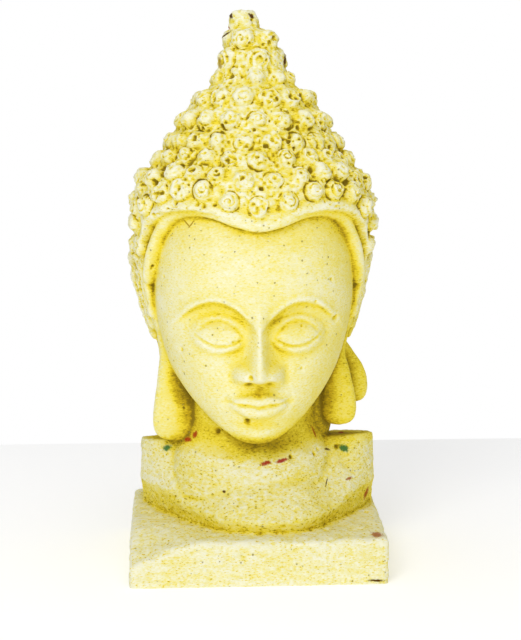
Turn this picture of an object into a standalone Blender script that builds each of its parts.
"""A cast devotional head on its bust and plinth: one solid piece about 200 mm tall.

Metres, +Z up, the face towards -Y, the origin at the middle of the underside.
Every mass starts as a ball or a roll of clay and is pressed into shape. The masses are then
fused into one skin, and the skin is reduced to a faceted solid with a flat underside.
"""

import math

import bmesh
import bpy
import numpy as np
from mathutils import Matrix, Vector

# Plinth: the block under the bust, its left front corner worn away and its right side
# running out a little towards the back
PLINTH_WIDTH = 0.090
PLINTH_SPLAY = 0.0038
PLINTH_DEPTH = 0.076
PLINTH_HEIGHT = 0.016
PLINTH_EDGE = 0.0022
WORN_CORNER_DROP = 0.009
WORN_CORNER_REACH = 0.024

# Ledges: how far the plinth runs out beyond the bust, which overhangs it a little on the right
FRONT_LEDGE = 0.0078
BACK_LEDGE = 0.0030
LEFT_LEDGE = 0.0030
RIGHT_LEDGE = -0.0022

# Bust: the chest and shoulders, drawn round a middle that is set back, so that the bib comes
# forward between sides that run back to a square end. The skew brings the right side forward.
BUST_SET_BACK = 0.0165
BUST_SKEW = 0.0020
BUST_FRONT_RISE = 0.0038
BUST_SIDE_RISE = 0.0098
SHOULDER_RISE = 0.0276
SHOULDER_SLANT = 0.0008
SHOULDER_FALL = 0.0048
SHOULDER_EDGE_DROP = 0.002
SHOULDER_SOFTNESS = 0.0013
RIM_OVERHANG = 0.0022

# Neck, and the webs of clay between it and the lobes of the ears
NECK_WIDTH = 0.047
NECK_DEPTH = 0.042
NECK_SET_BACK = 0.002
NECK_FOOT_RISE = 0.006
WEB_INSET = 0.003
WEB_WIDTH = 0.019
WEB_DEPTH = 0.015
WEB_HEIGHT = 0.038

# Head: its carving is laid out in parts, 75 of them from the chin to the dip of the hairline
FACE_HEIGHT = 0.075
CHIN_LIFT = 0.0024
HEAD_SET_BACK = 0.005
PARTS_IN_FACE = 75
PART = FACE_HEIGHT / PARTS_IN_FACE

# Curls of the hair
CURL_WIDTH = 0.0084
CURL_PITCH = 0.0089
CURL_RISE = 0.0042

# Finial: the large curls in each of its tiers, the turn of the first in degrees, and its lean
# to the side in parts
FINIAL_CURLS = 5
FIRST_FINIAL_TURN = 12
FINIAL_LEAN = -0.7

# Fusing and reducing the clay
VOXEL = 0.00095
BLEND_PASSES = 2
FACETS = 9600
FACE_CARE = 0.007
BELOW_GROUND = 0.002

# Places that follow from the sizes above
PLINTH_CENTRE_Y = -0.001
BUST_LEFT = LEFT_LEDGE - PLINTH_WIDTH / 2
BUST_RIGHT = PLINTH_WIDTH / 2 - RIGHT_LEDGE
BUST_FRONT = PLINTH_CENTRE_Y - PLINTH_DEPTH / 2 + FRONT_LEDGE
BUST_BACK = PLINTH_CENTRE_Y + PLINTH_DEPTH / 2 - BACK_LEDGE
BUST_MIDDLE_Y = PLINTH_CENTRE_Y + BUST_SET_BACK
HEAD_Y = PLINTH_CENTRE_Y + HEAD_SET_BACK
NECK_Y = HEAD_Y + NECK_SET_BACK
CHIN_HEIGHT = PLINTH_HEIGHT + SHOULDER_RISE + CHIN_LIFT

PLASTER_COLOUR = (0.83, 0.74, 0.29, 1.0)


# Numbers that change smoothly


def smooth_curve(stations, values, firm=True):
    """A function that runs smoothly through values at rising stations; a firm one never overshoots."""
    s = np.asarray(stations, float)
    v = np.asarray(values, float)
    slopes = np.gradient(v, s)
    if firm:
        rates = np.diff(v) / np.diff(s)
        before, after = np.append(rates[:1], rates), np.append(rates, rates[-1:])
        least = np.minimum(np.abs(before), np.abs(after))
        same_way = before * after > 0
        slopes = np.where(same_way, np.sign(before) * np.minimum(np.abs(slopes), 2.5 * least), 0)

    def at(where):
        where = np.clip(where, s[0], s[-1])
        i = np.clip(np.searchsorted(s, where) - 1, 0, len(s) - 2)
        span = s[i + 1] - s[i]
        t = (where - s[i]) / span
        start = v[i] * (1 + 2 * t) * (1 - t) ** 2 + slopes[i] * span * t * (1 - t) ** 2
        end = v[i + 1] * t**2 * (3 - 2 * t) - slopes[i + 1] * span * t**2 * (1 - t)
        return start + end

    return at


def bell(distance, reach):
    """1 at no distance, falling smoothly to nothing at about twice the reach."""
    return np.exp(-((distance / reach) ** 2))


def step(value, softness):
    """0 where value is well below nought, 1 well above it, changing over the softness."""
    t = np.clip(value / softness / 2 + 0.5, 0, 1)
    return t * t * (3 - 2 * t)


def dome(share):
    """A round profile: 1 in the middle and 0 at share 1."""
    return np.sqrt(np.clip(1 - share**2, 0, 1))


def lower_of(first, second, softness):
    """The lower of two heights, running softly from one into the other."""
    spread = np.abs(first - second)
    return np.minimum(first, second) - softness * np.log1p(np.exp(-spread / softness))


def round_power(value, squareness):
    """A sine or cosine bent towards a squarer outline; 2 leaves it round."""
    return np.sign(value) * np.abs(value) ** (2 / squareness)


# Clay shapes


def ball_mesh(name, columns, rows, place):
    """A UV sphere whose points move to place(share, turn): share rises from pole to pole."""
    bm = bmesh.new()
    bmesh.ops.create_uvsphere(bm, u_segments=columns, v_segments=rows, radius=1)
    mesh = bpy.data.meshes.new(name)
    bm.to_mesh(mesh)
    bm.free()
    points = np.empty(len(mesh.vertices) * 3)
    mesh.vertices.foreach_get("co", points)
    points = points.reshape(-1, 3)
    share = np.arccos(np.clip(-points[:, 2], -1, 1)) / math.pi
    turn = np.arctan2(points[:, 0], -points[:, 1])
    placed = np.stack(place(share, turn), axis=-1)
    mesh.vertices.foreach_set("co", placed.ravel())
    mesh.update()
    return mesh


class Stack:
    """A mass given by level sections: height, half width, reach to the front and to the back."""

    def __init__(self, sections, squareness):
        table = np.asarray(sections, float)
        walk = np.concatenate([[0], np.cumsum(np.linalg.norm(np.diff(table, axis=0), axis=1))])
        walk /= walk[-1]
        self.columns = [smooth_curve(walk, column) for column in table.T]
        self.squareness = squareness
        fine = np.linspace(0, 1, 600)
        self.share_of_height = (self.columns[0](fine), fine)

    def at(self, share, turn, grow=0.0):
        """Points of the mass, or of one grown all round, as x, y, z."""
        height, half, front, back = [column(share) for column in self.columns]
        side = round_power(np.sin(turn), self.squareness)
        along = round_power(np.cos(turn), self.squareness)
        reach = np.where(np.cos(turn) > 0, front, back)
        return (half + grow) * side, -(reach + grow) * along, height

    def at_height(self, height, turn, grow=0.0):
        return self.at(np.interp(height, *self.share_of_height), turn, grow)

    def outward(self, height, turn):
        """Where a point lies, and the direction straight out of the mass there."""
        higher, lower = self.at_height(height + 0.6, turn), self.at_height(height - 0.6, turn)
        ahead, behind = self.at_height(height, turn + 0.01), self.at_height(height, turn - 0.01)
        out = (Vector(ahead) - Vector(behind)).cross(Vector(higher) - Vector(lower))
        return Vector(self.at_height(height, turn)), out.normalized()


def roll_mesh(name, path, widths, depths, facing, columns=20, rows=36, blunt=8):
    """A roll of clay along a path, oval in section, its depth measured along facing."""
    stations = np.linspace(0, 1, len(path))
    line = [smooth_curve(stations, axis, firm=False) for axis in np.asarray(path, float).T]
    width = smooth_curve(stations, widths)
    depth = smooth_curve(stations, depths)

    def place(share, turn):
        centre = np.stack([axis(share) for axis in line], axis=-1)
        ahead = np.stack([axis(share + 0.01) - axis(share - 0.01) for axis in line], axis=-1)
        across = np.cross(np.asarray(facing, float), ahead)
        across /= np.linalg.norm(across, axis=-1, keepdims=True)
        deep = np.cross(ahead, across)
        deep /= np.linalg.norm(deep, axis=-1, keepdims=True)
        closing = np.sqrt(np.clip(1 - np.abs(2 * share - 1) ** blunt, 0, 1))
        side = (closing * width(share) * np.sin(turn))[:, None] * across
        fore = (closing * depth(share) * np.cos(turn))[:, None] * deep
        return tuple((centre + side + fore).T)

    return ball_mesh(name, columns, rows, place)


# Head, in parts: x to the right, y to the back, heights from the chin

SKULL = Stack(
    (
        (0.0, 0.5, 14, 6),
        (0.9, 9.5, 26.0, 10),
        (2.6, 14.0, 30.2, 13),
        (6.0, 18.8, 33.0, 16),
        (12.0, 23.8, 34.4, 20),
        (18.0, 27.2, 35.0, 24),
        (25.0, 30.2, 35.2, 27),
        (34.0, 33.2, 35.5, 29),
        (44.0, 35.4, 36.2, 30),
        (55.0, 36.4, 37.2, 31),
        (66.0, 36.2, 36.8, 31),
        (75.0, 34.0, 34.6, 29),
        (83.0, 32.0, 32.6, 27),
        (90.0, 24.0, 24.0, 20),
        (94.0, 0.5, 0.5, 0.5),
    ),
    squareness=2.25,
)

HAIR = Stack(
    (
        (2.0, 0.5, 0.5, 1),
        (3.0, 18.0, 10.0, 22),
        (9.0, 23.0, 14.0, 27),
        (19.0, 28.5, 20.0, 30.5),
        (29.0, 32.5, 26.0, 32.8),
        (39.0, 35.6, 30.0, 34.2),
        (49.0, 38.0, 33.0, 35.0),
        (59.0, 39.6, 35.0, 35.2),
        (69.0, 40.6, 35.2, 35.0),
        (78.0, 41.2, 35.4, 34.6),
        (86.0, 40.9, 34.8, 33.8),
        (92.0, 39.6, 33.2, 32.4),
        (97.5, 35.0, 30.2, 30.0),
        (103.0, 30.2, 26.4, 27.0),
        (109.0, 26.8, 23.4, 24.2),
        (116.0, 22.8, 20.2, 21.2),
        (123.0, 17.8, 16.4, 17.2),
        (130.0, 10.4, 10.4, 10.4),
        (136.0, 9.4, 9.4, 9.4),
        (140.0, 7.0, 7.0, 7.0),
        (141.0, 0.5, 0.5, 0.5),
    ),
    squareness=2.12,
)

# The hairline: its height across the forehead, and how far round it stands at each height
HAIRLINE_TOP = smooth_curve((0, 10, 22, 34, 46, 56, 66), (75, 76.5, 79, 80, 79.6, 77.5, 74))
HAIRLINE_SIDE = smooth_curve(
    (2, 14, 26, 38, 50, 58, 66, 72, 76), (124, 112, 100, 90, 82, 76, 70, 66, 62)
)
HAIR_TUCK = 7.0
HAIR_FILL = 1.9
VALLEY_DEPTH = 1.2


def outside_hairline(height, turn):
    """How far a place on the head lies outside the hairline, in parts; below 0 it's the face."""
    degrees = np.abs(np.degrees(turn))
    above = height - HAIRLINE_TOP(degrees)
    beside = np.radians(degrees - HAIRLINE_SIDE(height)) * 38
    return np.maximum(above, beside)


BROW_TOP = 52.0
LID_HEIGHT = 37.2
EYE_MIDDLE = 13.8
EYE_REACH = 7.4
MOUTH_HEIGHT = 16.2
MOUTH_REACH = 10.0
LIP_OVERLAP = 0.3
LIP_TAPER = 1.5
NOSE_REACH = smooth_curve(
    (22.6, 23.8, 25.2, 27.2, 30, 36, 43, 48, 52, 56), (0, 1.4, 6.4, 9.0, 8.8, 7.0, 4.8, 3.2, 1.0, 0)
)
NOSE_HALF = smooth_curve((24, 28, 33, 40, 46, 52), (4.6, 4.3, 3.6, 3.1, 3.6, 6.0))


def eye_relief(a, z):
    """A lowered lid over a round eye, under an arched brow with a crisp lower edge."""
    brow = BROW_TOP - 5.6 * ((a - 15.5) / 11) ** 2
    relief = -3.8 * step(brow - z, 1.1) * bell(a - 14.5, 11.5) * bell(z - 44.5, 8.0)
    relief += 0.9 * bell(z - brow - 0.8, 1.5) * step(a - 4, 1.5) * step(27 - a, 3)
    relief += 2.9 * dome(np.hypot((a - EYE_MIDDLE) / 10.2, (z - 40.6) / 6.9))
    across = (a - EYE_MIDDLE) / EYE_REACH
    within = step(1.04 - np.abs(across), 0.12)
    lid = LID_HEIGHT + 2.6 * across**2 + 0.5 * across
    relief -= 1.1 * bell(z - lid, 0.5) * within
    relief += 0.6 * (bell(z - lid - 1.0, 0.7) + bell(z - lid + 1.7, 0.9)) * within
    relief -= 0.7 * bell(z - 45.4 + 4.2 * across**2, 0.6) * within
    return relief


def nose_relief(a, z):
    """A straight ridge with a round tip and wings, and a hollow behind each wing."""
    relief = NOSE_REACH(z) * bell(a, NOSE_HALF(z))
    relief += 1.2 * bell(a, 3.2) * bell(z - 27.8, 2.4)
    relief += 4.0 * np.exp(-(np.hypot((a - 5.9) / 2.9, (z - 27.2) / 2.8) ** 3))
    relief -= 0.7 * bell(a - 9.6, 1.2) * bell(z - 27, 3.2)
    return relief


def lip_relief(z, low, high):
    """A round profile between two heights, standing out less where the lip thins."""
    thickness = high - low
    off_middle = np.abs(2 * z - low - high) / (thickness + LIP_OVERLAP)
    return dome(np.minimum(off_middle, 1)) * np.clip(thickness / LIP_TAPER, 0, 1)


def mouth_relief(a, z):
    """Closed lips on a soft mound, with a dimple at each corner."""
    along = a / MOUTH_REACH
    fade = step(1.02 - along, 0.16)
    inside = np.minimum(along, 1)
    line = MOUTH_HEIGHT + 1.3 * inside**2 - 0.4 * bell(a, 1.8)
    top = 20.6 - 3.2 * inside**1.6 - 0.8 * bell(a, 1.5)
    bottom = 11.4 + 4.6 * inside**2
    upper = lip_relief(z, line, top)
    lower = lip_relief(z, bottom, line)
    relief = 2.3 * bell(a, 12.5) * bell(z - 17.0, 8.5)
    relief += (1.5 * upper + 2.1 * lower * dome(inside)) * fade
    relief -= 0.9 * bell(z - line, 0.5) * fade
    relief -= 0.8 * bell(a - 11.2, 1.6) * bell(z - 17.6, 1.8)
    relief -= 1.4 * bell(a, 8.0) * bell(z - 9.4, 2.0)
    relief -= 0.5 * bell(a, 1.3) * bell(z - 22.4, 1.8)
    return relief


def face_relief(x, z):
    """How far the features stand out of the plain face, in parts. All measures are a canon's."""
    a = np.abs(x)
    chin = 2.4 * bell(a, 7.5) * bell(z - 4.6, 4.4)
    cheek = 1.4 * bell(a - 20, 8.5) * bell(z - 28, 10)
    return eye_relief(a, z) + nose_relief(a, z) + mouth_relief(a, z) + chin + cheek


def jaw_lift(height, y):
    """The underside of the jaw rises from the chin towards the throat and the ears."""
    return 0.3 * np.clip(y + 29, 0, 60) * (1 - step(height - 15, 15))


def skull_place(share, turn):
    forward = turn - 0.35 * np.sin(turn)
    x, y, z = SKULL.at(share, forward)
    y = y - face_relief(x, z) * step(np.cos(forward) - 0.3, 0.2)
    return x, y, z + jaw_lift(z, y)


def hair_place(share, turn):
    """The mass between the curls, tucked in under the skin of the face."""
    x, y, z = HAIR.at(share, turn, grow=HAIR_FILL)
    outside = outside_hairline(z, turn)
    tuck = HAIR_TUCK * (1 - step(outside - 2.6, 1.2)) + VALLEY_DEPTH * bell(outside - 8.0, 1.6)
    keep = np.clip(1 - tuck / np.maximum(np.hypot(x, y), 1e-6), 0, 1)
    return x * keep, y * keep, z


# Rows of curls by their heights. The row along the hairline rises and falls with it, and the
# two rows above it do so less and less.
CROWN_ROWS = (127.8, 121.0, 113.2, 105.8, 99.5, 93.2)
HAIRLINE_ROW_HEIGHT = 85.6
NAPE_ROW_HEIGHT = 6.0
HAIRLINE_WAVE = smooth_curve(
    (0, 14, 28, 40, 54, 64, 74, 86), (-1.2, 0.6, 4.4, 4.4, 2.6, -1.6, -3.0, 0)
)
WAVE_OF_LAST_ROWS = (1.0, 0.45, 0.15)
ROW_SHARE_OF_PITCH = 0.89
CURL_LIFT = 0.4
CLEAR_OF_HAIRLINE = 5.4
EAR_TURN = 88
EAR_TOP = 66


def curl_rows():
    """The height and the wave of each row, from the crown down to the nape."""
    spacing = CURL_PITCH / PART * ROW_SHARE_OF_PITCH
    lower_rows = np.arange(HAIRLINE_ROW_HEIGHT, NAPE_ROW_HEIGHT, -spacing)
    heights = list(CROWN_ROWS) + list(lower_rows)
    waves = [0.0] * len(heights)
    for above, wave in enumerate(WAVE_OF_LAST_ROWS):
        waves[len(CROWN_ROWS) - above] = wave
    return zip(heights, waves)


def curl_places():
    """The foot, the outward direction and the size of every curl, row by row, in parts."""
    places = []
    for row, (height, wave) in enumerate(curl_rows()):
        ring = np.array([HAIR.at_height(height, t, grow=2) for t in np.linspace(0, 2 * math.pi, 73)])
        girth = np.linalg.norm(np.diff(ring, axis=0), axis=1).sum() * PART
        count = round(girth / CURL_PITCH)
        for number in range(count):
            turn = (number + 0.5 * (row % 2)) / count * 2 * math.pi
            turn = (turn + math.pi) % (2 * math.pi) - math.pi
            degrees = abs(math.degrees(turn))
            z = height + wave * float(HAIRLINE_WAVE(degrees))
            beside_ear = abs(degrees - EAR_TURN) < 17 and z < EAR_TOP
            if beside_ear or outside_hairline(z, turn) < CLEAR_OF_HAIRLINE:
                continue
            foot, out = HAIR.outward(z, turn)
            places.append((foot, out, 1 + 0.07 * math.sin(number * 5.3 + row * 2.1)))
    return places


def curls_mesh():
    """Every curl as a round knob sunk in the hair."""
    knob = bmesh.new()
    bmesh.ops.create_uvsphere(knob, u_segments=12, v_segments=8, radius=1)
    ball = bpy.data.meshes.new("curl")
    knob.to_mesh(ball)
    knob.free()

    half = CURL_WIDTH / 2 / PART
    rise = CURL_RISE / PART
    curls = bmesh.new()
    for foot, out, size in curl_places():
        turned = out.to_track_quat("Z", "Y").to_matrix().to_4x4()
        shaped = Matrix.Diagonal((half * size, half * size, rise * size, 1))
        curl = ball.copy()
        curl.transform(Matrix.Translation(foot + out * CURL_LIFT) @ turned @ shaped)
        curls.from_mesh(curl)
        bpy.data.meshes.remove(curl)
    mesh = bpy.data.meshes.new("curls")
    curls.to_mesh(mesh)
    curls.free()
    bpy.data.meshes.remove(ball)
    return mesh


# The raised border of the hair, in parts: how far its middle stands above the hairline and out
# of the head, then its half width and its half depth
HAIRBAND_LIFT = 3.7
HAIRBAND_STANDS_OUT = 1.9
HAIRBAND_SIZE = (2.7, 2.0)


def hairband_mesh():
    """The raised border along the hairline, from one ear over the forehead to the other."""
    side = [(float(HAIRLINE_SIDE(z)), z) for z in (52, 59, 66, 71.5)]
    top = [(turn, float(HAIRLINE_TOP(turn))) for turn in (57, 46, 34, 22, 10)]
    half = side + top
    left = [(-turn, z) for turn, z in half]
    path = [
        SKULL.at_height(z + HAIRBAND_LIFT, math.radians(turn), grow=HAIRBAND_STANDS_OUT)
        for turn, z in left + [(0, float(HAIRLINE_TOP(0)))] + half[::-1]
    ]
    widths, depths = [[half] * len(path) for half in HAIRBAND_SIZE]
    return roll_mesh("hairband", path, widths, depths, (0, -1, 0.02), 14, 160, blunt=40)


# Ears, in parts, for the right-hand side; the left is mirrored. Each lobe is pierced, so it
# hangs in two strands: x away from the middle, y, height and half width.
EAR_RIM = (
    (36.8, -5.5, 47),
    (38.0, -6.5, 55),
    (40.6, -5.0, 62.5),
    (42.8, 1.0, 65.6),
    (43.4, 8.2, 63.0),
    (42.4, 11.6, 55.5),
    (39.8, 10.8, 46.5),
    (37.2, 7.6, 38.5),
    (35.6, 3.5, 34.0),
)
EAR_FOLD = ((41.6, 2.6, 60), (41.4, 6.8, 55), (39.6, 6.8, 47.5), (37.6, 4.0, 41.5), (36, -0.5, 39))
EAR_TRAGUS = ((36, -4.5, 43), (37.2, -4.8, 49))
LONG_LOBE = (
    (
        (33.6, -2.0, 40, 2.8),
        (30.8, -3.0, 31, 3.6),
        (29.6, -4.0, 21, 5.6),
        (28.9, -4.4, 9, 7.9),
        (28.6, -4.4, -2.6, 9.0),
    ),
    (
        (35.0, 4.5, 40, 2.2),
        (31.8, 6.0, 30, 2.8),
        (31.0, 6.4, 22, 3.8),
        (30.6, 5.6, 14, 4.6),
        (30.4, 4.6, 9, 4.2),
    ),
)
SHORT_LOBE = (
    (
        (33.8, -2.0, 40, 2.8),
        (30.6, -3.0, 31, 3.4),
        (30.8, -4.0, 22, 5.0),
        (31.6, -4.4, 12, 6.4),
        (31.8, -4.4, 2.6, 6.8),
    ),
    (
        (34.4, 4.5, 41, 2.2),
        (31.4, 6.0, 35, 2.6),
        (34.2, 6.2, 28, 3.8),
        (38.4, 5.6, 19, 4.8),
        (39.2, 4.6, 9.5, 4.6),
    ),
)
LOBE_DEPTHS = (2.8, 3.2, 3.4, 3.4, 3.2)


def ear_meshes(side, lobe):
    """One ear: its plate, rim, inner fold, tragus and the two strands of its lobe."""
    outward = (side, 0, 0.1)

    def plate_place(share, turn):
        across = np.sin(math.pi * share)
        above = -15.5 * np.cos(math.pi * share)
        x = 35.6 + above * 0.16 + 3.4 * across * np.sin(turn)
        y = 2.5 + above * 0.17 - 8.6 * across * np.cos(turn)
        return side * x, y, 50 + above

    def roll(name, path, widths, depths, facing=outward, blunt=8):
        mirrored = [(side * x, y, z) for x, y, z in path]
        return roll_mesh(name, mirrored, widths, depths, facing, blunt=blunt)

    pieces = [
        ball_mesh("ear_plate", 24, 20, plate_place),
        roll("ear_rim", EAR_RIM, [1.9] * len(EAR_RIM), [2.0] * len(EAR_RIM)),
        roll("ear_fold", EAR_FOLD, [1.7] * len(EAR_FOLD), [1.6] * len(EAR_FOLD)),
        roll("ear_tragus", EAR_TRAGUS, [2.2] * 2, [2.0] * 2, blunt=3),
    ]
    for strand in lobe:
        path = [place[:3] for place in strand]
        widths = [place[3] for place in strand]
        pieces.append(roll("lobe_strand", path, widths, LOBE_DEPTHS, (0, -1, 0.1)))
    return pieces


# The finial's two tiers of curls, in parts: the reach and the height of three places along each
# curl, then its half widths and its half depths
FINIAL_TIERS = (
    (((7.6, 130.2), (8.8, 135.0), (8.0, 139.8)), (4.9, 5.2, 4.9), (4.2, 4.6, 4.0)),
    (((6.8, 139.8), (7.6, 142.6), (6.4, 145.6)), (4.0, 4.4, 4.0), (3.2, 3.5, 3.0)),
)


def finial_meshes():
    """The broken finial: two tiers of large curls round a rough bud, and the stump of its tip."""
    stations = (0, 0.12, 0.4, 0.6, 0.76, 0.9, 1)
    bud_reach = smooth_curve(stations, (0, 9.0, 9.0, 8.8, 8.6, 7.8, 0))

    def bud_place(share, turn):
        ripple = 1 + 0.05 * np.sin(3 * turn + 5 * share) + 0.03 * np.sin(7 * turn)
        reach = bud_reach(share) * ripple
        return FINIAL_LEAN + reach * np.sin(turn), -reach * np.cos(turn), 126.0 + 21.5 * share

    meshes = [ball_mesh("bud", 28, 20, bud_place)]
    for tier, (places, *sizes) in enumerate(FINIAL_TIERS):
        for number in range(FINIAL_CURLS):
            share = (number + tier / 2) / FINIAL_CURLS
            turn = math.radians(FIRST_FINIAL_TURN) + share * 2 * math.pi
            across, away = math.sin(turn), -math.cos(turn)
            path = [(FINIAL_LEAN + reach * across, reach * away, z) for reach, z in places]
            facing = (across, away, 0.3)
            meshes.append(roll_mesh("petal", path, *sizes, facing, rows=14, blunt=3))
    stump = [(-2.0, 0, 142), (-3.4, 0, 147), (-4.2, 0.3, 150.8), (-4.4, 0.4, 153.0)]
    meshes.append(roll_mesh("stump", stump, [6.6, 5.6, 4.9, 4.4], [6.0, 5.2, 4.6, 4.0], (0, -1, 0)))
    return meshes


# Neck, bust and plinth, in metres


def neck_place(share, turn):
    """A round throat that widens into the shoulders."""
    stations = (0, 0.02, 0.3, 0.45, 0.6, 0.97, 1)
    reach = smooth_curve(stations, (0.0, 1.3, 1.25, 1.08, 1.0, 1.0, 0.0))(share)
    foot = PLINTH_HEIGHT + NECK_FOOT_RISE
    top = CHIN_HEIGHT + 0.4 * FACE_HEIGHT
    x = NECK_WIDTH / 2 * reach * np.sin(turn)
    return x, NECK_Y - NECK_DEPTH / 2 * reach * np.cos(turn), foot + share * (top - foot)


def web_mesh(side):
    """The clay that joins a hanging lobe to the neck, from the jaw down to the shoulder."""

    def place(share, turn):
        swell = np.sin(math.pi * share)
        x = side * (NECK_WIDTH / 2 - WEB_INSET) + WEB_WIDTH / 2 * swell * np.sin(turn)
        y = NECK_Y - WEB_DEPTH / 2 * swell * np.cos(turn)
        return x, y, CHIN_HEIGHT + WEB_HEIGHT * (0.44 - np.cos(math.pi * share)) / 2

    return ball_mesh("web", 24, 18, place)


def bust_place(share, turn):
    """A wall that leans out to the rim, a slope from the rim, and level shoulders on top."""
    stations = (0, 0.1, 0.16, 0.4, 0.44, 1)
    reach = smooth_curve(stations, (0, 0.95, 0.98, 1.0, 0.985, 0))(share)
    climbed = smooth_curve(stations, (0, 0, 0, 0.97, 1, 1))(share)
    to_back = (1 - np.cos(turn)) / 2
    climb = smooth_curve((0, 0.07, 0.125, 0.165, 0.22, 0.5), (0, 0.1, 0.24, 0.5, 0.95, 1))(to_back)
    rim = BUST_FRONT_RISE + (BUST_SIDE_RISE - BUST_FRONT_RISE) * climb
    shoulder_edge = SHOULDER_RISE - SHOULDER_EDGE_DROP
    rim += (shoulder_edge - BUST_SIDE_RISE) * smooth_curve((0, 0.5, 0.62, 1), (0, 0, 1, 1))(to_back)
    slope = smooth_curve((0, 0.13, 0.24, 0.36, 0.5, 1), (1.16, 1.2, 1.8, 9, 20, 20))(to_back)

    in_front = np.cos(turn) > 0
    squareness = smooth_curve((0, 0.05, 0.13, 0.3, 0.5, 1), (2, 1.75, 1.5, 1.4, 1.4, 1.4))(to_back)
    squareness += 4.1 * step(-np.cos(turn) - 0.12, 0.12)
    side, along = round_power(np.sin(turn), squareness), round_power(np.cos(turn), squareness)
    half_width = (BUST_RIGHT - BUST_LEFT) / 2
    reach_y = np.where(in_front, BUST_MIDDLE_Y - BUST_FRONT, BUST_BACK - BUST_MIDDLE_Y)
    lean = RIM_OVERHANG * (1 - climbed) * np.where(in_front, 1, 0.4)
    x = (half_width - lean) * reach * side
    y = BUST_MIDDLE_Y - (reach_y - lean) * reach * along - BUST_SKEW * side * reach

    inward = (1 - reach) * np.hypot(half_width * side, reach_y * along)
    behind = np.clip((y - HEAD_Y) / (BUST_BACK - HEAD_Y), 0, 1)
    shoulders = SHOULDER_RISE + SHOULDER_SLANT * x / half_width - SHOULDER_FALL * behind
    top = lower_of(rim + slope * inward, shoulders, SHOULDER_SOFTNESS)
    sunk = -PLINTH_HEIGHT / 4
    return (BUST_LEFT + BUST_RIGHT) / 2 + x, y, PLINTH_HEIGHT + sunk + (top - sunk) * climbed


def plinth_mesh():
    """A block with eased edges, carried below the ground so that its underside can be cut flat."""
    bm = bmesh.new()
    bmesh.ops.create_cube(bm, size=1)
    height = PLINTH_HEIGHT + BELOW_GROUND
    bmesh.ops.scale(bm, vec=(PLINTH_WIDTH, PLINTH_DEPTH, height), verts=bm.verts)
    middle = (0, PLINTH_CENTRE_Y, PLINTH_HEIGHT - height / 2)
    bmesh.ops.translate(bm, vec=middle, verts=bm.verts)
    bmesh.ops.bevel(
        bm, geom=list(bm.edges), offset=PLINTH_EDGE, segments=3, profile=0.6, affect="EDGES"
    )
    long_edges = [edge for edge in bm.edges if edge.calc_length() > 2 * PLINTH_EDGE]
    bmesh.ops.subdivide_edges(bm, edges=long_edges, cuts=16, use_grid_fill=True)
    corner = Vector((-PLINTH_WIDTH / 2, PLINTH_CENTRE_Y - PLINTH_DEPTH / 2))
    for vertex in bm.verts:
        away = (vertex.co.xy - corner).length / WORN_CORNER_REACH
        lift = max(0, vertex.co.z) / PLINTH_HEIGHT
        vertex.co.z -= WORN_CORNER_DROP * lift * max(0, 1 - away) ** 1.5
        to_back = (vertex.co.y - corner.y) / PLINTH_DEPTH
        to_right = (vertex.co.x - corner.x) / PLINTH_WIDTH
        vertex.co.x += PLINTH_SPLAY * to_back * to_right
    mesh = bpy.data.meshes.new("plinth")
    bm.to_mesh(mesh)
    bm.free()
    return mesh


# Fusing the masses


def in_place(mesh):
    """Head masses are made in parts about the chin: this brings one to its size and place."""
    mesh.transform(Matrix.Translation((0, HEAD_Y, CHIN_HEIGHT)) @ Matrix.Scale(PART, 4))
    return mesh


def clay_masses():
    """Every mass of the casting, closed and overlapping its neighbours."""
    head = [ball_mesh("skull", 220, 170, skull_place), ball_mesh("hair", 180, 170, hair_place)]
    head += [curls_mesh(), hairband_mesh()]
    head += ear_meshes(1, SHORT_LOBE) + ear_meshes(-1, LONG_LOBE)
    head += finial_meshes()
    masses = [in_place(mesh) for mesh in head]
    masses += [ball_mesh("neck", 48, 30, neck_place), web_mesh(-1), web_mesh(1)]
    masses += [ball_mesh("bust", 96, 80, bust_place), plinth_mesh()]
    return masses


def recalculated(bm):
    bmesh.ops.recalc_face_normals(bm, faces=bm.faces)
    return bm


def joined(masses):
    """All masses in one mesh, each with its faces pointing out."""
    whole = bmesh.new()
    for mass in masses:
        part = bmesh.new()
        part.from_mesh(mass)
        recalculated(part).to_mesh(mass)
        part.free()
        whole.from_mesh(mass)
        bpy.data.meshes.remove(mass)
    mesh = bpy.data.meshes.new("clay")
    whole.to_mesh(mesh)
    whole.free()
    return mesh


def evaluated(obj):
    graph = bpy.context.evaluated_depsgraph_get()
    return bpy.data.meshes.new_from_object(obj.evaluated_get(graph))


def in_carved_face(point):
    """Whether a point lies on the features, which keep more facets than the rest."""
    head = (point - Vector((0, HEAD_Y, CHIN_HEIGHT))) / PART
    return head.y < -24 and 1 < head.z < 56 and abs(head.x) < 25


def fused(mesh):
    """One skin over all the masses, softened where they meet."""
    clay = bpy.data.objects.new("clay", mesh)
    bpy.context.scene.collection.objects.link(clay)
    remesh = clay.modifiers.new("fuse", "REMESH")
    remesh.mode = "VOXEL"
    remesh.voxel_size = VOXEL
    soften = clay.modifiers.new("soften", "SMOOTH")
    soften.factor = 0.5
    soften.iterations = BLEND_PASSES
    skin = evaluated(clay)
    bpy.data.objects.remove(clay)
    return skin


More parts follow.
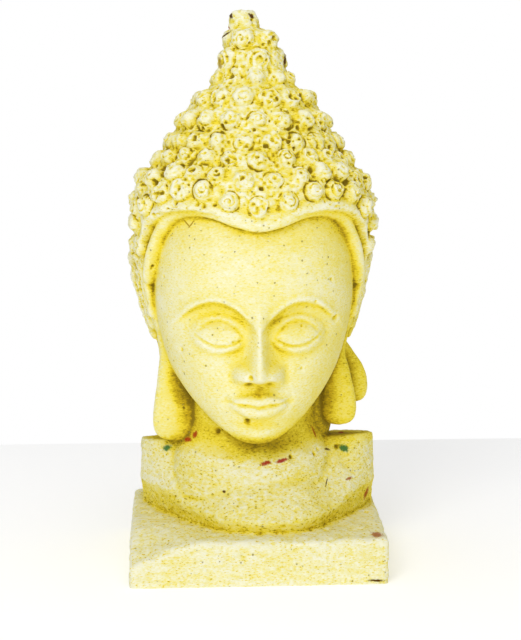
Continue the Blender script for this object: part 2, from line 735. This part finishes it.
def reduced(skin):
    """The skin with few facets, more of them on the features than elsewhere."""
    clay = bpy.data.objects.new("clay", skin)
    bpy.context.scene.collection.objects.link(clay)
    plain = clay.vertex_groups.new(name="plain")
    plain.add(range(len(skin.vertices)), 1.0, "REPLACE")
    plain.add([v.index for v in skin.vertices if in_carved_face(v.co)], 0.5, "REPLACE")
    reduce = clay.modifiers.new("reduce", "DECIMATE")
    reduce.ratio = FACETS / sum(len(face.vertices) - 2 for face in skin.polygons)
    reduce.vertex_group = plain.name
    reduce.vertex_group_factor = FACE_CARE
    facets = evaluated(clay)
    bpy.data.objects.remove(clay)
    return facets


def cut_flat(mesh):
    """Cuts off what lies below the ground and closes the underside with one flat face."""
    bm = bmesh.new()
    bm.from_mesh(mesh)
    everything = list(bm.verts) + list(bm.edges) + list(bm.faces)
    cut = bmesh.ops.bisect_plane(
        bm, geom=everything, dist=1e-6, plane_co=(0, 0, 0), plane_no=(0, 0, -1), clear_outer=True
    )
    rim = [item for item in cut["geom_cut"] if isinstance(item, bmesh.types.BMEdge)]
    bmesh.ops.edgenet_fill(bm, edges=rim)
    bmesh.ops.triangulate(bm, faces=list(bm.faces))
    recalculated(bm).to_mesh(mesh)
    bm.free()


def centred(mesh):
    """Moves the casting sideways until its box stands over the origin."""
    points = np.array([vertex.co for vertex in mesh.vertices])
    middle = (points.min(axis=0) + points.max(axis=0)) / 2
    mesh.transform(Matrix.Translation((-middle[0], -middle[1], 0)))


def plaster():
    material = bpy.data.materials.new("cast_plaster")
    material.use_nodes = True
    shader = material.node_tree.nodes["Principled BSDF"]
    shader.inputs["Base Color"].default_value = PLASTER_COLOUR
    shader.inputs["Roughness"].default_value = 0.85
    shader.inputs["Metallic"].default_value = 0.0
    return material


def main():
    for obj in list(bpy.data.objects):
        bpy.data.objects.remove(obj)
    collection = bpy.data.collections.new("buddha_head")
    bpy.context.scene.collection.children.link(collection)
    mesh = reduced(fused(joined(clay_masses())))
    cut_flat(mesh)
    centred(mesh)
    mesh.name = "buddha_head"
    mesh.materials.append(plaster())
    mesh.shade_smooth()
    mesh.set_sharp_from_angle(angle=math.radians(50))
    head = bpy.data.objects.new("buddha_head", mesh)
    collection.objects.link(head)


main()
